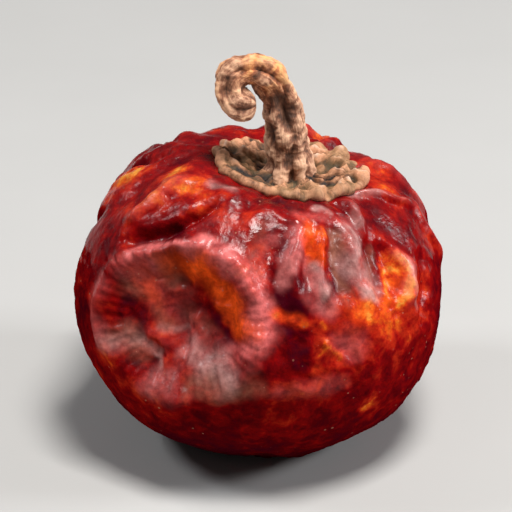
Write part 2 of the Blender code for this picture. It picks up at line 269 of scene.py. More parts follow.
# Its finer wrinkles: size across and height
FACET_SIZE, FACET_HEIGHT = 4.6, 0.45
CRUMPLE_SIZE, CRUMPLE_HEIGHT = 2.8, 0.24
CREASE_SIZE, CREASE_HEIGHT = 1.3, 0.085
CRINKLE_SIZE, CRINKLE_HEIGHT = 0.6, 0.03
WRINKLE_WARP = 1.1
WRINKLE_WARP_LENGTH = 5.0
LIVELY_LEAST = 0.3  # how wrinkled the calmest skin is, from 0 to 1
LIVELY_LENGTH = 9.0
PUCKER_COUNT, PUCKER_HEIGHT = 17, 0.22
PUCKER_REACH, PUCKER_SPREAD = 6.4, 2.2  # from the calyx's middle
PUCKER_BEND, PUCKER_BEND_LENGTH = 1.6, 4.0  # in radians, and in millimetres
STRIA_COUNT, STRIA_HEIGHT = 52, 0.05
STRIA_REACH, STRIA_SPREAD = 0.9, 0.16  # from the bowl's middle, in times its size
STRIA_BEND, STRIA_BEND_LENGTH = 2.5, 2.4
POD_DETAIL = 128  # squares along each edge of the cube that the pod starts from

# The calyx
CALYX_WIDTH = 11.5
CALYX_DEPTH = 9.6
CALYX_FORWARD = 0.35
CALYX_SUNK = 0.1  # how far its underside is sunk into the pod
CALYX_THICKNESS = 0.75
CALYX_THINNING = 0.4  # what it loses of that towards the rim
CALYX_BOSS_HEIGHT, CALYX_BOSS_RADIUS = 1.0, 2.3
CALYX_LOBES, CALYX_LOBE_LENGTH = 5, 0.2
CALYX_CRIMPS = 17
CALYX_RIBS, CALYX_RIB_HEIGHT = 11, 0.6
CALYX_CUT = 0.6  # how far its outline is cut in at the front left
CALYX_CUT_ANGLE = math.radians(-128.0)
CALYX_CUT_SPREAD = 0.5
CALYX_RIM = 0.45  # how far the rolled rim stands out
CALYX_RIM_RISE = 0.3  # how much higher the rim is at the front
CALYX_CREST_SIZE, CALYX_CREST_HEIGHT = 1.5, 0.6
CALYX_CURL_SIZE, CALYX_CURL_HEIGHT = 0.8, 0.55
CALYX_ROUGH_SIZE, CALYX_ROUGH_HEIGHT = 1.1, 0.22
CALYX_INNER_CRUMPLE = 0.7  # how crumpled its calm side is inside the rim, from 0 to 1
CALYX_STEPS = 540
CALYX_RINGS = 46
CALYX_RINGS_SKIPPED = 5  # the pod's skin is felt for under every fifth ring
CALYX_ROLL_RINGS = 10

# The stem, whose course runs from its foot, to the right, towards the back and up
STEM_COURSE = (
    (0.0, 0.0, 0.0),
    (0.1, 0.0, 1.0),
    (0.0, 0.05, 2.2),
    (-0.2, 0.1, 3.7),
    (-0.45, 0.1, 5.1),
    (-0.9, 0.0, 6.4),
    (-1.5, -0.1, 7.3),
    (-2.3, -0.3, 7.85),
    (-3.2, -0.5, 7.9),
    (-4.0, -0.75, 7.5),
    (-4.3, -1.0, 6.8),
    (-4.0, -1.2, 6.1),
    (-3.25, -1.35, 5.75),
    (-2.35, -1.4, 5.8),
)
STEM_SUNK = 0.35  # how far its foot is sunk into the calyx
STEM_DIAMETER = 3.2
STEM_TIP_DIAMETER = 2.0
STEM_TOP_RADIUS = 1.15  # where the course is highest
STEM_TAPER = 1.8
STEM_TIP_LENGTH = 0.9
STEM_TIP_ROUNDING = 0.95
STEM_FLARE = 0.25
STEM_FLARE_LENGTH = 1.2
STEM_SIDES = 110
STEM_RINGS = 260
STEM_STRANDS = 5
STEM_STRAND_HEIGHT = 0.3
STEM_STRAND_TWIST = 0.16  # in radians a millimetre
STEM_STRAND_BEND, STEM_STRAND_BEND_LENGTH = 0.7, 2.2
STEM_LEGS = 7
STEM_LEG_HEIGHT = 0.6
STEM_KNOT_SIZE, STEM_KNOT_HEIGHT = 1.5, 0.3
STEM_FIBRE_SIZE, STEM_FIBRE_HEIGHT = 0.55, 0.06
STEM_ARCH_SWELL = 0.2  # how much thicker it is under the arch of the hook
STEM_ARCH_AT, STEM_ARCH_SPREAD = 0.56, 0.1  # as shares of its length
STEM_CHANNEL_DEPTH = 0.6
STEM_CHANNEL_ANGLE = math.radians(182.0)  # from the back towards the left
STEM_CHANNEL_WIDTH = 0.42  # in radians
STEM_CHANNEL_AT, STEM_CHANNEL_SPREAD = 0.40, 0.13  # as shares of its length
STEM_END_INSETS = (0.6, 0.25)  # the rings that close its tip, as shares of the last ring
STEM_END_DISH = 0.12

FEELER = 20.0  # how far out the rays start that feel for a piece's skin

# The colours, as linear red, green and blue
SKIN_STOPS = (  # for how ripe the skin is
    (0.04, (0.055, 0.001, 0.006)),
    (0.22, (0.10, 0.001, 0.003)),
    (0.42, (0.24, 0.003, 0.003)),
    (0.60, (0.45, 0.022, 0.007)),
    (0.78, (0.66, 0.10, 0.010)),
    (0.96, (0.78, 0.30, 0.045)),
)
# dusty pink, partly the skin's own and partly painted highlight on rims and ridges
BLUSH_AND_SHEEN_PINK = (0.76, 0.17, 0.16)
WORN_BROWN = (0.28, 0.10, 0.065)
EMBER_ORANGE = (1.0, 0.105, 0.012)
# painted sheen and painted glints
PAINTED_SHEEN_LILAC = (0.64, 0.36, 0.33)
# tiny pale specks, partly flecks of the skin and partly painted glints
SPECK_AND_GLINT_TAN = (0.50, 0.22, 0.14)
PORE_BLACK = (0.05, 0.002, 0.004)
# dark, mid and light husk: painted shade in the folds, the husk itself, painted highlight on the crests
HUSK_SHADED_TO_LIT = ((0.010, 0.004, 0.002), (0.18, 0.069, 0.026), (0.62, 0.29, 0.155))
HUSK_OLIVE = (0.22, 0.15, 0.06)
# painted glints on the calyx's highest crests
PAINTED_GLINT_CREAM = (0.82, 0.62, 0.50)
# dark, mid and light bark: painted shade in the pits, the bark itself, painted highlight on the lumps
BARK_SHADED_TO_LIT = ((0.085, 0.036, 0.02), (0.28, 0.112, 0.058), (0.80, 0.46, 0.285))
BARK_AMBER = (0.72, 0.46, 0.22)
FLOOR_SHADES = ((0.44, 0.435, 0.425), (0.47, 0.465, 0.455))
WARM_LIGHT = (1.0, 0.98, 0.95)
COOL_LIGHT = (0.95, 0.97, 1.0)

# The camera and the room
VIEW_ELEVATION = math.radians(28.0)
LENS = 200.0
SENSOR = 36.0
VIEW_WIDTH = 38.0
VIEW_TARGET = Vector((0.0, 0.0, 13.7))
FLOOR_SIZE = 3.0  # in metres
FLOOR_ROUGHNESS = 0.7
KEY_POWER = 1.5
RIGHT_POWER = 0.7
LEFT_POWER = 0.4
ROOM_LIGHT = 0.07


def noise(points, length, seed):
    """Smooth random values from about -1 to 1 at each point, whose bumps are about length apart."""
    random = np.random.default_rng(seed)
    ways = random.normal(size=(256, 3))
    ways /= np.linalg.norm(ways, axis=1)[:, None]
    shuffled = random.permutation(256)
    scaled = points / length
    corner = np.floor(scaled).astype(np.int64)
    part = scaled - corner
    fade = part**3 * (part * (part * 6 - 15) + 10)
    total = np.zeros(len(points))
    for number in range(8):
        step = np.array((number & 1, number >> 1 & 1, number >> 2 & 1))
        x, y, z = ((corner + step) & 255).T
        chosen = ways[shuffled[(shuffled[(shuffled[x] + y) & 255] + z) & 255]]
        weight = np.where(step, fade, 1 - fade).prod(axis=1)
        total += ((part - step) * chosen).sum(axis=1) * weight
    return total * 1.6


def layered(points, length, seed, layers=3):
    """Noise with finer noise on top of it, from about -1 to 1."""
    total = np.zeros(len(points))
    for layer in range(layers):
        total += noise(points, length / 2**layer, seed + layer) / 2**layer
    return total / 1.5


def ridged(points, length, seed, layers=2):
    """Noise folded into sharp crests with rounded valleys between them, from about -1 to 1."""
    total = np.zeros(len(points))
    for layer in range(layers):
        total += (1 - 2.4 * np.abs(noise(points, length / 2**layer, seed + layer))) / 2.2**layer
    return total / 1.3


def cells(points, length, seed):
    """The distances to the nearest two of scattered points about length apart, as shares of length."""
    random = np.random.default_rng(seed)
    offsets = random.uniform(0.0, 1.0, (256, 3))
    shuffled = random.permutation(256)
    scaled = points / length
    corner = np.floor(scaled).astype(np.int64)
    nearest = np.full(len(points), 9.0)
    second = np.full(len(points), 9.0)
    for number in range(27):
        step = np.array((number % 3 - 1, number // 3 % 3 - 1, number // 9 - 1))
        x, y, z = ((corner + step) & 255).T
        chosen = offsets[shuffled[(shuffled[(shuffled[x] + y) & 255] + z) & 255]]
        away = np.linalg.norm(corner + step + chosen - scaled, axis=1)
        second = np.minimum(second, np.maximum(nearest, away))
        nearest = np.minimum(nearest, away)
    return nearest, second


def smooth(low, high, values):
    """From 0 at low to 1 at high, without a corner at either."""
    share = np.clip((values - low) / (high - low), 0.0, 1.0)
    return share * share * (3 - 2 * share)


def compass(azimuth, elevation):
    """The unit direction at these angles in degrees, from the front towards +X and above the equator."""
    a, e = math.radians(azimuth), math.radians(elevation)
    return np.array((math.sin(a) * math.cos(e), -math.cos(a) * math.cos(e), math.sin(e)))


def meander(ways, distance, length):
    """The unit directions, each shifted a little, so that what is drawn with them isn't straight."""
    points = ways * POD_RADIUS
    shift = np.stack([layered(points, length, 91 + axis, 2) for axis in range(3)], axis=1)
    points = points + distance * shift
    return points / np.linalg.norm(points, axis=1)[:, None]


def within(ways, dent):
    """How far from a dent's middle each unit direction is, along and across it, in times its size."""
    azimuth, elevation, length, width, turn, _ = dent
    middle = compass(azimuth, elevation)
    right = compass(azimuth + 90, 0)
    top = np.cross(middle, right)
    angle = np.arccos(np.clip(ways @ middle, -1, 1))
    x, y = ways @ right, ways @ top
    spread = POD_RADIUS * angle / np.maximum(np.hypot(x, y), 1e-9)
    x, y = x * spread, y * spread
    turn = math.radians(turn)
    along = x * math.cos(turn) + y * math.sin(turn)
    beside = y * math.cos(turn) - x * math.sin(turn)
    return along / length, beside / width


def dented(ways):
    """How far the dents push the skin in along each unit direction, and how hollow it is, from 0 to 1."""
    depth, hollow = np.zeros((2, len(ways)))
    for dent in DENTS:
        wander = 1 + DENT_WARP * layered(ways * POD_RADIUS, DENT_WARP_LENGTH, DENT_WARP_SEED + dent[0])
        reached = np.hypot(*within(ways, dent)) * wander
        inside = 1 - reached**2
        depth += dent[5] * (inside + np.sqrt(inside**2 + DENT_SOFTNESS**2)) / 2
        hollow = np.maximum(hollow, smooth(1.0, 0.7, reached) * min(1.0, dent[5] / 2))
    return depth, hollow


def from_course(points, course, steps):
    """How far each point is from the course, in millimetres, and how far along it, from 0 to 1."""
    line = [compass(*course[0]) * POD_RADIUS]
    if len(course) > 1:
        line, _, _ = smooth_course([compass(*corner) * POD_RADIUS for corner in course], steps)
    nearest = np.linalg.norm(points - line[0], axis=1)
    share = np.zeros(len(points))
    for number, (start, end) in enumerate(zip(line, line[1:])):
        step = end - start
        part = np.clip((points - start) @ step / (step @ step), 0.0, 1.0)
        away = np.linalg.norm(points - start - part[:, None] * step, axis=1)
        share = np.where(away < nearest, (number + part) / (steps - 1), share)
        nearest = np.minimum(nearest, away)
    return nearest, share


def patches(ways, marks):
    """How strong the strokes in marks are together, along each unit direction."""
    points = ways * POD_RADIUS
    total = np.zeros(len(points))
    for width, strength, course in marks:
        nearest, _ = from_course(points, course, PATCH_STEPS)
        total += strength * smooth(PATCH_REACH, PATCH_CORE, nearest / width)
    return total


def folded(ways):
    """How far the folds lift the skin along each unit direction, in millimetres."""
    height = np.zeros(len(ways))
    points = ways * POD_RADIUS
    for width, lift, course in FOLDS:
        nearest, share = from_course(points, course, FOLD_STEPS)
        fade = smooth(0.0, FOLD_FADE, share) * smooth(1.0, 1.0 - FOLD_FADE, share)
        height += lift * fade * np.exp(-((nearest / width) ** 2))
    return height * (1 + FOLD_UNEVENNESS * noise(points, FOLD_UNEVENNESS_LENGTH, 95))


def calyx_seat():
    """The middle of the calyx's seat and its outward direction, in millimetres from the pod's centre."""
    outward = Vector((math.sin(CALYX_TILT), 0.0, math.cos(CALYX_TILT)))
    top = POD_HEIGHT / 2 * math.sqrt(1 - (CALYX_OFFSET / POD_RADIUS) ** 2)
    return Vector((CALYX_OFFSET, 0.0, top)), outward


def pod_wrinkles(ways, hollow):
    """The height of the pod's wrinkles along each unit direction, in millimetres."""
    points = ways * POD_RADIUS * (1.0, 1.0, 0.8)
    warp = np.stack([noise(points, WRINKLE_WARP_LENGTH, 61 + axis) for axis in range(3)], axis=1)
    points = points + warp * WRINKLE_WARP
    lively = smooth(-0.25, 0.35, layered(points, LIVELY_LENGTH, 31, 2))
    lively = np.maximum(LIVELY_LEAST + (1 - LIVELY_LEAST) * lively, hollow)
    nearest, second = cells(points, FACET_SIZE, 7)
    height = -FACET_HEIGHT * smooth(0.0, 0.75, second - nearest) * lively
    height += CRUMPLE_HEIGHT * ridged(points, CRUMPLE_SIZE, 11) * lively**2
    height += CREASE_HEIGHT * ridged(points, CREASE_SIZE, 17) * lively
    height += CRINKLE_HEIGHT * ridged(points, CRINKLE_SIZE, 23, 1) * (0.4 + 0.6 * lively)
    return height


def puckers(ways):
    """The folds that run out from under the calyx, in millimetres."""
    seat, outward = calyx_seat()
    from_seat = ways * seat.length - np.array(seat)
    distance = np.linalg.norm(from_seat, axis=1)
    angle = np.arctan2(from_seat[:, 1], from_seat[:, 0])
    bend = PUCKER_BEND * noise(ways * POD_RADIUS, PUCKER_BEND_LENGTH, 41)
    fold = np.abs(np.cos(angle * PUCKER_COUNT / 2 + bend)) - 0.6
    return PUCKER_HEIGHT * fold * np.exp(-(((distance - PUCKER_REACH) / PUCKER_SPREAD) ** 2))


def striae(ways):
    """The fine creases that cross the rim of the large bowl, in millimetres."""
    along, across = within(ways, DENTS[0])
    bend = STRIA_BEND * noise(ways * POD_RADIUS, STRIA_BEND_LENGTH, 51)
    crease = np.cos(np.arctan2(across, along) * STRIA_COUNT + bend)
    reached = np.hypot(along, across)
    return STRIA_HEIGHT * crease * np.exp(-(((reached - STRIA_REACH) / STRIA_SPREAD) ** 2))


def pod_surface(ways):
    """Where the skin is along each unit direction, in millimetres, and what its colour depends on."""
    sides = np.array((POD_WIDTH, POD_DEPTH, POD_HEIGHT)) / 2
    reach = (np.abs(ways / sides) ** POD_SQUARENESS).sum(axis=1) ** (-1 / POD_SQUARENESS)
    reach += LUMP_HEIGHT * layered(ways * POD_RADIUS, LUMP_LENGTH, LUMP_SEED, 1)
    depth, hollow = dented(ways)
    seat, _ = calyx_seat()
    from_seat = np.linalg.norm(ways * seat.length - np.array(seat), axis=1)
    funnel = FUNNEL_DEPTH * np.exp(-((from_seat / FUNNEL_WIDTH) ** FUNNEL_STEEPNESS))
    relief = folded(meander(ways, FOLD_MEANDER, FOLD_MEANDER_LENGTH)) + pod_wrinkles(ways, hollow)
    relief += puckers(ways) + striae(ways)
    points = ways * (reach - depth - funnel + relief)[:, None]
    points[:, 2] = np.maximum(points[:, 2], FLAT_BASE - POD_HEIGHT / 2)
    blotched = meander(ways, PATCH_WARP, PATCH_WARP_LENGTH)
    values = {label: patches(blotched, marks) for label, marks in PATCHES.items()}
    return points, {"relief": relief, **values}


def fit_to(node, points):
    """The points in millimetres, stretched slightly to fill the box of this part of the construction."""
    low, high = (np.array(corner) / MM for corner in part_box(node))
    share = (points - points.min(axis=0)) / np.ptp(points, axis=0)
    return low + share * (high - low)


def add_piece(name, points, faces, finish, values):
    """Adds a smooth mesh from points in millimetres, with each of the values as an attribute."""
    mesh = bpy.data.meshes.new(name)
    mesh.from_pydata((points * MM).tolist(), [], faces)
    mesh.shade_smooth()
    mesh.materials.append(finish)
    for label, numbers in values.items():
        kind, field = ("FLOAT_VECTOR", "vector") if numbers.ndim == 2 else ("FLOAT", "value")
        attribute = mesh.attributes.new(label, kind, "POINT")
        attribute.data.foreach_set(field, numbers.astype(np.float32).ravel())
    piece = bpy.data.objects.new(name, mesh)
    bpy.context.scene.collection.objects.link(piece)
    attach(piece, "root")
    return piece


def sphere(detail):
    """The points and faces of a unit sphere of even squares: a cube that is cut up and blown out."""
    bm = bmesh.new()
    bmesh.ops.create_cube(bm, size=2.0)
    bmesh.ops.subdivide_edges(bm, edges=bm.edges, cuts=detail - 1, use_grid_fill=True)
    points = np.tan(np.array([vert.co for vert in bm.verts]) * math.pi / 4)
    points /= np.linalg.norm(points, axis=1)[:, None]
    faces = [[vert.index for vert in face.verts] for face in bm.faces]
    bm.free()
    return points, faces


def make_pod():
    ways, faces = sphere(POD_DETAIL)
    points, values = pod_surface(ways)
    pod = add_piece("pod_skin", fit_to("pod", points), faces, pod_material(), values)
    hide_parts("pod")
    return pod


def height_over(piece, start, outward):
    """How far the piece's skin is along outward from each start point, in millimetres."""
    tree = BVHTree.FromObject(piece, bpy.context.evaluated_depsgraph_get())
    far = outward * FEELER
    heights = []
    for point in start:
        hit = tree.ray_cast((Vector(point) + far) * MM, -outward)[0]
        heights.append((hit / MM - Vector(point)).dot(outward))
    return np.array(heights)


def calyx_frame():
    """The middle of the calyx's seat and its own X, Y and outward directions, in millimetres."""
    low, high = (Vector(corner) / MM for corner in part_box("calyx"))
    _, outward = calyx_seat()
    right = Vector((outward.z, 0.0, -outward.x))
    return (low + high) / 2, right, outward.cross(right), outward


def turn_from(angles, middle):
    """How far each angle is turned from middle, from minus half a turn to half a turn."""
    return (angles - middle + math.pi) % (2 * math.pi) - math.pi


def tube_faces(rings, sides):
    """The faces between rings of points that follow each other."""
    faces = []
    for first in range(0, (rings - 1) * sides, sides):
        second = first + sides
        for side in range(sides):
            after = (side + 1) % sides
            faces.append((first + side, first + after, second + after, second + side))
    return faces


def calyx_edge(angles, circle, lively):
    """How far from the calyx's middle its rolled rim starts at each angle, in millimetres."""
    lobes = CALYX_LOBE_LENGTH * np.cos(CALYX_LOBES * angles) + 0.25 * noise(circle * 2.0, 0.9, 71)
    lobes = lobes + 0.3 * lively * noise(circle, 0.22, 78)
    cut = CALYX_CUT * np.exp(-((turn_from(angles, CALYX_CUT_ANGLE) / CALYX_CUT_SPREAD) ** 2))
    return CALYX_WIDTH / 2 - CALYX_RIM + lobes - cut


def calyx_rim(angles, circle, lively):
    """How far the calyx's rim is lifted at each angle, in millimetres, and its crimps, from -1 to 1."""
    crimp = np.cos(CALYX_CRIMPS * angles + 3.5 * noise(circle * 2.0, 0.7, 72)) * lively
    front = smooth(-0.1, 0.8, -np.sin(angles))
    lift = CALYX_RIM_RISE * front + 0.2 * crimp + 0.12 * noise(circle * 2.0, 0.9, 73)
    return lift + 0.5 * lively * noise(circle, 0.3, 77), crimp


def calyx_roughness(spot, share, lively):
    """How far the calyx's skin is crumpled up or down at each spot of a ring, in millimetres."""
    inner = lively + (1 - lively) * CALYX_INNER_CRUMPLE * (1 - share**4)
    painted_crest_highlight = CALYX_CREST_HEIGHT * ridged(spot, CALYX_CREST_SIZE, 79, 3)
    curls = CALYX_CURL_HEIGHT * noise(spot, CALYX_CURL_SIZE, 76)
    crumple = inner * (painted_crest_highlight + curls) * share
    fine = CALYX_ROUGH_HEIGHT * layered(spot, CALYX_ROUGH_SIZE, 75) * min(1.0, 3 * share)
    return fine + crumple * (1 - 0.45 * share**6)


def make_calyx(pod):
    """The saucer: over the top from the middle, around the rolled rim and back underneath."""
    centre, right, across, outward = calyx_frame()
    centre = np.array(centre - across * CALYX_FORWARD)
    right, across = np.array(right), np.array(across)
    angles = np.arange(CALYX_STEPS) * 2 * math.pi / CALYX_STEPS
    circle = np.stack([np.cos(angles), np.sin(angles), np.zeros(CALYX_STEPS)], axis=1)
    # Its right side and its back left are more crumpled than the rest
    right_side = smooth(-0.25, 0.3, np.cos(angles + 0.25))
    behind_left = smooth(0.2, 0.8, np.cos(angles - 2.5))
    lively = np.maximum(right_side, behind_left)
    edge = calyx_edge(angles, circle, lively)
    rim_lift, crimp = calyx_rim(angles, circle, lively)
    rib = np.abs(np.cos(CALYX_RIBS / 2 * angles + 2.2 * noise(circle * 2.0, 0.9, 74)))
    sideways = across * CALYX_DEPTH / CALYX_WIDTH
    flat = np.outer(edge * np.cos(angles), right) + np.outer(edge * np.sin(angles), sideways)
    shares = np.linspace(0.0, 1.0, CALYX_RINGS)
    known = shares[::CALYX_RINGS_SKIPPED]
    seat = np.array([height_over(pod, centre + flat * share, outward) for share in known])
    rows, painted_shading_rows, grain = [], [], []

    def row(share, height, out, painted_shading):
        after = min(int(np.searchsorted(known, share)), len(known) - 1)
        before = max(after - 1, 0)
        mix = (share - known[before]) / (known[after] - known[before]) if after else 0.0
        floor = seat[before] * (1 - mix) + seat[after] * mix
        ring = centre + flat * share + np.outer(floor + height, np.array(outward))
        ring += (np.outer(np.cos(angles), right) + np.outer(np.sin(angles), across)) * out
        rows.append(ring)
        painted_shading_rows.append(np.broadcast_to(painted_shading, angles.shape))
        threads = [np.cos(angles) * 6, np.sin(angles) * 6, np.full(CALYX_STEPS, share)]
        grain.append(np.stack(threads, axis=1))

    for share in shares:
        thickness = CALYX_THICKNESS - CALYX_THINNING * smooth(0.5, 1.0, share)
        boss = CALYX_BOSS_HEIGHT * math.exp(-((share * CALYX_WIDTH / 2 / CALYX_BOSS_RADIUS) ** 4))
        ribs = CALYX_RIB_HEIGHT * (rib - 0.45) * math.sin(math.pi * min(1.0, share * 1.02)) ** 0.7 * share
        rough = calyx_roughness(centre + flat * share, share, lively)
        # painted shading: darker in the hollows of the crumple and between the ribs, lighter on its crests
        # and towards the rim
        painted_shading = 2.8 * rough + ribs / 0.4 + 0.8 * share**8 - 0.75
        row(share, thickness + boss + rim_lift * share**4 + ribs + rough, 0.0, painted_shading)
    lumpy = 1 + 0.3 * crimp + 0.25 * noise(circle, 0.16, 70)
    top = rim_lift + thickness + ribs + rough
    for turn in np.linspace(0.0, math.pi, CALYX_ROLL_RINGS + 1)[1:]:
        fall = (top + CALYX_SUNK) * (1 - math.cos(turn)) / 2
        out = (CALYX_RIM * lumpy * math.sin(turn))[:, None]
        # painted shading: the rolled rim is lighter where it turns outward
        row(1.0, top - fall, out, 0.15 + 0.35 * math.sin(turn) + 1.2 * rough)
    for share in shares[::-1][1:]:
        row(share, -CALYX_SUNK, 0.0, 0.0)
    faces = tube_faces(len(rows), CALYX_STEPS)
    values = {"painted_shading": np.concatenate(painted_shading_rows), "grain": np.concatenate(grain)}
    calyx = add_piece("calyx_husk", np.concatenate(rows), faces, calyx_material(), values)
    weld(calyx)
    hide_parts("calyx")
    return calyx


def weld(piece):
    """Joins the points that lie on each other, such as a ring that has closed to its middle."""
    bm = bmesh.new()
    bm.from_mesh(piece.data)
    bmesh.ops.remove_doubles(bm, verts=bm.verts, dist=1e-6)
    bmesh.ops.dissolve_degenerate(bm, edges=bm.edges, dist=1e-7)
    bmesh.ops.recalc_face_normals(bm, faces=bm.faces)
    bm.to_mesh(piece.data)
    bm.free()
    piece.data.shade_smooth()


def smooth_course(course, count):
    """Even steps along a smooth curve through the course's points, the headings there and its length."""
    course = np.array(course)
    knots = np.concatenate([2 * course[:1] - course[1:2], course, 2 * course[-1:] - course[-2:-1]])
    share = np.linspace(0.0, 1.0, 20, endpoint=False)[:, None]
    pieces = []
    for before, start, end, after in zip(knots, knots[1:], knots[2:], knots[3:]):
        bend = 2 * before - 5 * start + 4 * end - after
        twist = 3 * start - before - 3 * end + after
        pieces.append(start + share / 2 * (end - before + share * (bend + share * twist)))
    fine = np.concatenate([*pieces, course[-1:]])
    lengths = np.concatenate([[0.0], np.cumsum(np.linalg.norm(np.diff(fine, axis=0), axis=1))])
    along = np.linspace(0.0, lengths[-1], count)
    points = np.stack([np.interp(along, lengths, axis) for axis in fine.T], axis=1)
    headings = np.gradient(points, axis=0)
    return points, headings / np.linalg.norm(headings, axis=1)[:, None], lengths[-1]


def stem_path(calyx):
    """The stem's middle line, whose top is as high as the construction's, its headings and its length."""
    centre, _, _, outward = calyx_frame()
    foot = centre + outward * (height_over(calyx, [centre], outward)[0] - STEM_SUNK)
    highest = max(corner[2] for corner in STEM_COURSE) + STEM_TOP_RADIUS
    stretch = np.array((1.0, 1.0, (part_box("stem")[1][2] / MM - foot.z) / highest))
    path, headings, length = smooth_course(np.array(STEM_COURSE) * stretch, STEM_RINGS)
    return path + np.array(foot), headings, length


def stem_ring(middle, spokes, angles, share, length):
    """The skin of the stem around one point of its middle line, and its painted shading: lighter on lumps
    and legs, darker in pits, gaps and the channel.
    """
    along = share * length
    mean = STEM_TIP_DIAMETER / 2 + (STEM_DIAMETER - STEM_TIP_DIAMETER) / 2 * (1 - share) ** STEM_TAPER
    skin = middle + spokes * mean
    bend = STEM_STRAND_BEND * noise(skin, STEM_STRAND_BEND_LENGTH, 81) - STEM_STRAND_TWIST * along
    strands = np.abs(np.cos(STEM_STRANDS / 2 * angles + bend)) ** 0.8 - 0.6
    legs = np.abs(np.cos(STEM_LEGS / 2 * angles + bend)) - 0.55
    knots = noise(skin, STEM_KNOT_SIZE, 83) + 0.6 * noise(skin, STEM_KNOT_SIZE / 2, 85)
    fibres = ridged(skin, STEM_FIBRE_SIZE, 82, 2)
    foot = math.exp(-((along / STEM_FLARE_LENGTH) ** 2))
    channel = np.exp(-((turn_from(angles, STEM_CHANNEL_ANGLE) / STEM_CHANNEL_WIDTH) ** 2))
    channel = channel * math.exp(-(((share - STEM_CHANNEL_AT) / STEM_CHANNEL_SPREAD) ** 4))
    swell = STEM_ARCH_SWELL * math.exp(-(((share - STEM_ARCH_AT) / STEM_ARCH_SPREAD) ** 2))
    height = STEM_STRAND_HEIGHT * strands * (1 - foot) + STEM_KNOT_HEIGHT * knots
    height = height + STEM_FIBRE_HEIGHT * fibres
    radius = mean + height + swell * np.maximum(0.0, -spokes[:, 2])
    radius = radius + foot * (STEM_FLARE + STEM_LEG_HEIGHT * legs) - STEM_CHANNEL_DEPTH * channel
    rounded = STEM_TIP_ROUNDING * max(0.0, 1 - (length - along) / STEM_TIP_LENGTH)
    calm = 1 - 0.5 * smooth(0.5, 0.7, share)
    # painted shading: lighter on lumps, strands and legs, darker in pits, between the legs and in the
    # channel under the hook's arch
    painted_shading = 3.0 * height * calm + 0.4 * fibres + 1.5 * foot * legs - 1.8 * channel
    return middle + spokes * (radius * math.sqrt(1 - rounded**2))[:, None], painted_shading


def make_stem(calyx):
    """The hooked stalk: rings around its middle line, with a slightly dished end at the tip."""
    path, headings, length = stem_path(calyx)
    angles = np.arange(STEM_SIDES) * 2 * math.pi / STEM_SIDES
    shares = np.arange(STEM_RINGS) / (STEM_RINGS - 1)
    sideways = Vector((0.0, 1.0, 0.0))
    rows, painted_shading_rows, grain = [], [], []
    for middle, heading, share in zip(path, [Vector(way) for way in headings], shares):
        sideways = (sideways - heading * sideways.dot(heading)).normalized()
        other = np.array(heading.cross(sideways))
        spokes = np.outer(np.cos(angles), np.array(sideways)) + np.outer(np.sin(angles), other)
        ring, painted_shading = stem_ring(middle, spokes, angles, share, length)
        rows.append(ring)
        painted_shading_rows.append(painted_shading)
        threads = [np.cos(angles) * 5, np.sin(angles) * 5, np.full(STEM_SIDES, share * length)]
        grain.append(np.stack(threads, axis=1))
    last = rows[-1]
    for inset in STEM_END_INSETS:
        middle = rows[-1].mean(axis=0)
        rows.append(middle + (last - middle) * inset - headings[-1] * STEM_END_DISH)
        painted_shading_rows.append(np.full(STEM_SIDES, -1.0))
        grain.append(grain[STEM_RINGS - 1])
    warm = np.concatenate([shares, np.ones(len(STEM_END_INSETS))]).repeat(STEM_SIDES)
    end = (len(rows) - 1) * STEM_SIDES
    faces = [tuple(range(STEM_SIDES))]
    faces += tube_faces(len(rows), STEM_SIDES)
    faces.append(tuple(end + side for side in range(STEM_SIDES)))
    values = {"painted_shading": np.concatenate(painted_shading_rows), "grain": np.concatenate(grain), "warm": warm}
    stem = add_piece("stem_bark", np.concatenate(rows), faces, stem_material(), values)
    weld(stem)
    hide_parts("stem")


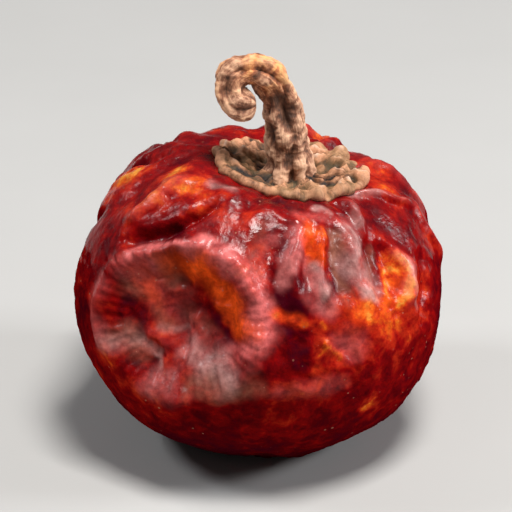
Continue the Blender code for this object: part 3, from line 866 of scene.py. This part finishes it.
class Nodes:
    """A material's node tree, with short ways to add what the finishes here use."""

    def __init__(self, name):
        self.material = bpy.data.materials.new(name)
        self.material.use_nodes = True
        self.tree = self.material.node_tree
        self.shader = self.tree.nodes["Principled BSDF"]
        self.place = self.add("ShaderNodeMapping", Scale=(1 / MM, 1 / MM, 1 / MM))
        self.link(self.add("ShaderNodeTexCoord").outputs["Object"], self.place.inputs["Vector"])

    def add(self, kind, **inputs):
        node = self.tree.nodes.new(kind)
        for label, value in inputs.items():
            node.inputs[label.replace("_", " ")].default_value = value
        return node

    def link(self, source, target):
        self.tree.links.new(source, target)

    def attribute(self, name, output="Fac"):
        node = self.tree.nodes.new("ShaderNodeAttribute")
        node.attribute_name = name
        return node.outputs[output]

    def noise(self, size, detail, roughness=0.5, distortion=0.0, vector=None):
        """Cloudy noise whose patches are about this many millimetres apart."""
        settings = {"Scale": 1 / size, "Detail": detail, "Roughness": roughness, "Distortion": distortion}
        node = self.add("ShaderNodeTexNoise", **settings)
        self.link(vector or self.place.outputs["Vector"], node.inputs["Vector"])
        return node.outputs["Fac"]

    def cells(self, size, feature="F1"):
        """The distance from scattered points that are about this many millimetres apart."""
        node = self.add("ShaderNodeTexVoronoi", Scale=1 / size)
        node.feature = feature
        self.link(self.place.outputs["Vector"], node.inputs["Vector"])
        return node.outputs["Distance"]

    def stretched(self, source, scale):
        """The places that source gives, scaled."""
        node = self.add("ShaderNodeMapping", Scale=scale)
        self.link(source, node.inputs["Vector"])
        return node.outputs["Vector"]

    def range(self, value, low, high, to_low=0.0, to_high=1.0):
        """From to_low where the value is low or less, to to_high where it is high or more."""
        node = self.add("ShaderNodeMapRange", From_Min=low, From_Max=high, To_Min=to_low, To_Max=to_high)
        self.link(value, node.inputs["Value"])
        return node.outputs["Result"]

    def ramp(self, value, stops):
        """A colour for each value, blended between stops of (value, colour) in order."""
        node = self.tree.nodes.new("ShaderNodeValToRGB")
        elements = node.color_ramp.elements
        for at, _ in stops[1:-1]:
            elements.new(at)
        for element, (at, colour) in zip(elements, stops):
            element.position = at
            element.color = (*colour, 1.0)
        self.link(value, node.inputs["Fac"])
        return node.outputs["Color"]

    def maths(self, operation, first, second):
        """Two values put together, of which the second may be a plain number."""
        node = self.tree.nodes.new("ShaderNodeMath")
        node.operation = operation
        self.link(first, node.inputs[0])
        if isinstance(second, float):
            node.inputs[1].default_value = second
        else:
            self.link(second, node.inputs[1])
        return node.outputs[0]

    def mix(self, share, first, second, blend="MIX"):
        """Mixes two colours, each given as a colour or as another node's output."""
        node = self.tree.nodes.new("ShaderNodeMix")
        node.data_type = "RGBA"
        node.blend_type = blend
        if isinstance(share, float):
            node.inputs[0].default_value = share
        else:
            self.link(share, node.inputs[0])
        for socket, value in zip(node.inputs[6:8], (first, second)):
            if isinstance(value, tuple):
                socket.default_value = (*value, 1.0)
            else:
                self.link(value, socket)
        return node.outputs[2]

    def bump(self, height, distance, strength, below=None):
        """The normal of a skin that rises this many millimetres with height, on top of the bumps below."""
        node = self.add("ShaderNodeBump", Distance=distance * MM, Strength=strength)
        self.link(height, node.inputs["Height"])
        if below:
            self.link(below, node.inputs["Normal"])
        return node.outputs["Normal"]


def mottled(n, label, size, most):
    """How much of a patchy colour shows, up to most, broken up by clouds of this size."""
    clouds = n.range(n.noise(size, 5.0, 0.6, 0.5), 0.3, 0.65, 0.35 * most, most)
    return n.maths("MULTIPLY", n.attribute(label), clouds)


def ripeness_and_shade(n, relief, height):
    """How ripe the skin is, from purple-black at 0 to amber at 1, and what its strokes add to that, with
    painted shade darker towards the bottom and in the furrows.
    """
    broad = n.range(n.noise(5.5, 8.0, 0.68, 0.5), 0.28, 0.72, -0.24, 0.16)
    fine = n.range(n.noise(1.3, 6.0, 0.6, 0.4), 0.3, 0.7, -0.17, 0.17)
    clouds = n.range(n.noise(1.1, 6.0, 0.65, 0.5), 0.35, 0.6, 0.45, 1.25)
    strokes = n.maths("MULTIPLY", n.attribute("ripe"), clouds)
    # painted light and shade: lighter on the ridges of the relief, darker in its furrows
    ripe = n.maths("ADD", n.maths("ADD", broad, fine), n.range(relief, -0.6, 0.6, 0.3, 0.52))
    ripe = n.maths("ADD", ripe, strokes)
    # painted shade: the skin is darker towards the bottom of the pod
    return n.maths("ADD", ripe, n.range(height, 1.0, 9.0, -0.25, 0.0)), strokes


def pod_colour(n):
    """Purple-black through scarlet to amber, dusty pink on its ridges, partly painted highlight, with
    painted pale sheen and glints, and specks that are partly painted glints.
    """
    place = n.add("ShaderNodeSeparateXYZ")
    n.link(n.place.outputs["Vector"], place.inputs["Vector"])
    relief, height = n.attribute("relief"), place.outputs["Z"]
    ripe, strokes = ripeness_and_shade(n, relief, height)
    skin = n.ramp(ripe, SKIN_STOPS)
    # painted highlight: dusty pink on the crests of the relief, only on the upper part of the pod
    painted_crest_highlight = n.maths("MULTIPLY", n.range(relief, 0.25, 0.75, 0.0, 0.2), n.range(height, 4.0, 11.0))
    # dusty pink from the blush strokes, partly the skin's own and partly painted highlight, and on the
    # painted crest highlight
    skin = n.mix(n.maths("MAXIMUM", mottled(n, "blush_and_sheen", 1.4, 0.9), painted_crest_highlight), skin, BLUSH_AND_SHEEN_PINK)
    worn = n.maths("MULTIPLY", mottled(n, "husk", 1.6, 1.0), n.range(strokes, 0.08, 0.28, 1.0, 0.0))
    skin = n.mix(worn, skin, WORN_BROWN)
    skin = n.mix(mottled(n, "ember", 1.3, 1.0), skin, EMBER_ORANGE)
    # painted sheen and painted glints, pale lilac
    skin = n.mix(mottled(n, "painted_sheen", 1.2, 0.62), skin, PAINTED_SHEEN_LILAC)
    # tiny pale specks, partly flecks of the skin and partly painted glints
    size = n.maths("MULTIPLY", n.noise(1.7, 3.0), 0.26)
    speck_and_glint = n.range(n.maths("SUBTRACT", n.cells(0.75), size), -0.06, -0.02, 1.0, 0.0)
    chosen = n.range(n.noise(3.1, 3.0), 0.46, 0.58, 0.0, 0.55)
    skin = n.mix(n.maths("MULTIPLY", speck_and_glint, chosen), skin, SPECK_AND_GLINT_TAN)
    return n.mix(n.range(n.noise(0.45, 4.0, 0.6), 0.35, 0.6, 0.35, 0.0), skin, PORE_BLACK)


def pod_material():
    """Leathery skin with fine wrinkles and pores, glossy where it faces up and dull below."""
    n = Nodes("pod_skin")
    n.link(pod_colour(n), n.shader.inputs["Base Color"])
    n.link(n.range(n.noise(1.4, 6.0, 0.68), 0.3, 0.7, 0.17, 0.4), n.shader.inputs["Roughness"])
    wrinkles = n.noise(0.6, 3.0, 0.55, 0.3)
    pores = n.cells(0.4, "SMOOTH_F1")
    n.link(n.bump(wrinkles, 0.11, 0.7, n.bump(pores, 0.03, 0.5)), n.shader.inputs["Normal"])
    upright = n.add("ShaderNodeSeparateXYZ")
    n.link(n.add("ShaderNodeTexCoord").outputs["Normal"], upright.inputs["Vector"])
    n.link(n.range(upright.outputs["Z"], 0.35, 0.8, 0.0, 0.28), n.shader.inputs["Specular IOR Level"])
    return n.material


def husk_colour(n, grain_size, shaded_to_lit):
    """The colour of dry plant fibre in three shades, from painted shade in its folds to painted highlight
    on its crests, with threads along the grain. It gives the material its roughness and its bumps too."""
    threads = n.noise(1.0, 5.0, 0.65, 0.3, n.stretched(n.attribute("grain", "Vector"), grain_size))
    clouds = n.noise(0.8, 5.0, 0.65, 0.5)
    # the painted shade and highlight of folds and crests, varied by grain and clouds
    level = n.range(n.attribute("painted_shading"), -0.7, 0.9)
    level = n.maths("ADD", level, n.range(threads, 0.25, 0.75, -0.3, 0.3))
    level = n.maths("ADD", level, n.range(clouds, 0.3, 0.7, -0.42, 0.42))
    dark, mid, light = shaded_to_lit
    colour = n.mix(n.range(level, 0.45, 1.05), n.mix(n.range(level, 0.0, 0.5), dark, mid), light)
    n.link(n.range(threads, 0.3, 0.7, 0.6, 0.85), n.shader.inputs["Roughness"])
    pits = n.bump(n.noise(0.25, 4.0, 0.6), 0.05, 0.6)
    n.link(n.bump(threads, 0.12, 0.8, pits), n.shader.inputs["Normal"])
    return colour


def calyx_material():
    """Dry brown husk with an olive cast in patches and painted cream glints on its highest crests."""
    n = Nodes("calyx_husk")
    brown = husk_colour(n, (2.5, 2.5, 1.2), HUSK_SHADED_TO_LIT)
    olive = n.range(n.noise(2.6, 3.0), 0.42, 0.6, 0.0, 0.6)
    husk = n.mix(olive, brown, n.mix(0.6, brown, HUSK_OLIVE))
    # painted glints: cream on the highest crests
    painted_crest_highlight = n.range(n.attribute("painted_shading"), 0.9, 1.9, 0.0, 0.7)
    n.link(n.mix(painted_crest_highlight, husk, PAINTED_GLINT_CREAM), n.shader.inputs["Base Color"])
    return n.material


def stem_material():
    """Dry pink-brown bark, blotched with amber where the stem starts to bend over."""
    n = Nodes("stem_bark")
    bark = husk_colour(n, (2.2, 2.2, 0.6), BARK_SHADED_TO_LIT)
    along = n.attribute("warm")
    amber = n.maths("MULTIPLY", n.range(along, 0.4, 0.6), n.range(along, 0.66, 0.8, 1.0, 0.2))
    amber = n.maths("MULTIPLY", amber, n.range(n.noise(1.6, 4.0), 0.42, 0.6, 0.1, 0.9))
    n.link(n.mix(amber, bark, BARK_AMBER, "OVERLAY"), n.shader.inputs["Base Color"])
    return n.material


def make_floor():
    n = Nodes("pale_floor")
    n.link(n.mix(n.noise(14.0, 3.0), *FLOOR_SHADES), n.shader.inputs["Base Color"])
    n.shader.inputs["Roughness"].default_value = FLOOR_ROUGHNESS
    mesh = bpy.data.meshes.new("floor")
    half = FLOOR_SIZE / 2
    corners = [(-half, -half, 0), (half, -half, 0), (half, half, 0), (-half, half, 0)]
    mesh.from_pydata(corners, [], [(0, 1, 2, 3)])
    mesh.materials.append(n.material)
    floor = bpy.data.objects.new("floor", mesh)
    bpy.context.scene.collection.objects.link(floor)


def add_light(name, place, size, power, colour):
    """A square soft light at this place in metres, which faces the chili."""
    data = bpy.data.lights.new(name, "AREA")
    data.size = size
    data.energy = power
    data.color = colour
    light = bpy.data.objects.new(name, data)
    light.location = place
    light.rotation_euler = (VIEW_TARGET * MM - light.location).to_track_quat("-Z", "Y").to_euler()
    bpy.context.scene.collection.objects.link(light)


def make_studio():
    add_light("key", Vector((0.06, -0.06, 0.34)), 0.10, KEY_POWER, WARM_LIGHT)
    add_light("right", Vector((0.30, -0.02, 0.16)), 0.08, RIGHT_POWER, COOL_LIGHT)
    add_light("left", Vector((-0.24, 0.02, 0.24)), 0.08, LEFT_POWER, COOL_LIGHT)
    world = bpy.data.worlds.new("room")
    world.use_nodes = True
    world.node_tree.nodes["Background"].inputs["Color"].default_value = (1.0, 1.0, 1.0, 1.0)
    world.node_tree.nodes["Background"].inputs["Strength"].default_value = ROOM_LIGHT
    bpy.context.scene.world = world
    bpy.context.scene.view_settings.view_transform = "Standard"


def make_camera():
    data = bpy.data.cameras.new("camera")
    data.lens = LENS
    data.sensor_width = SENSOR
    data.clip_end = 10.0
    camera = bpy.data.objects.new("camera", data)
    away = Vector((0.0, -math.cos(VIEW_ELEVATION), math.sin(VIEW_ELEVATION)))
    camera.location = (VIEW_TARGET + away * VIEW_WIDTH * LENS / SENSOR) * MM
    camera.rotation_euler = (-away).to_track_quat("-Z", "Y").to_euler()
    bpy.context.scene.collection.objects.link(camera)
    bpy.context.scene.camera = camera


pod = make_pod()
calyx = make_calyx(pod)
make_stem(calyx)
make_floor()
make_studio()
make_camera()
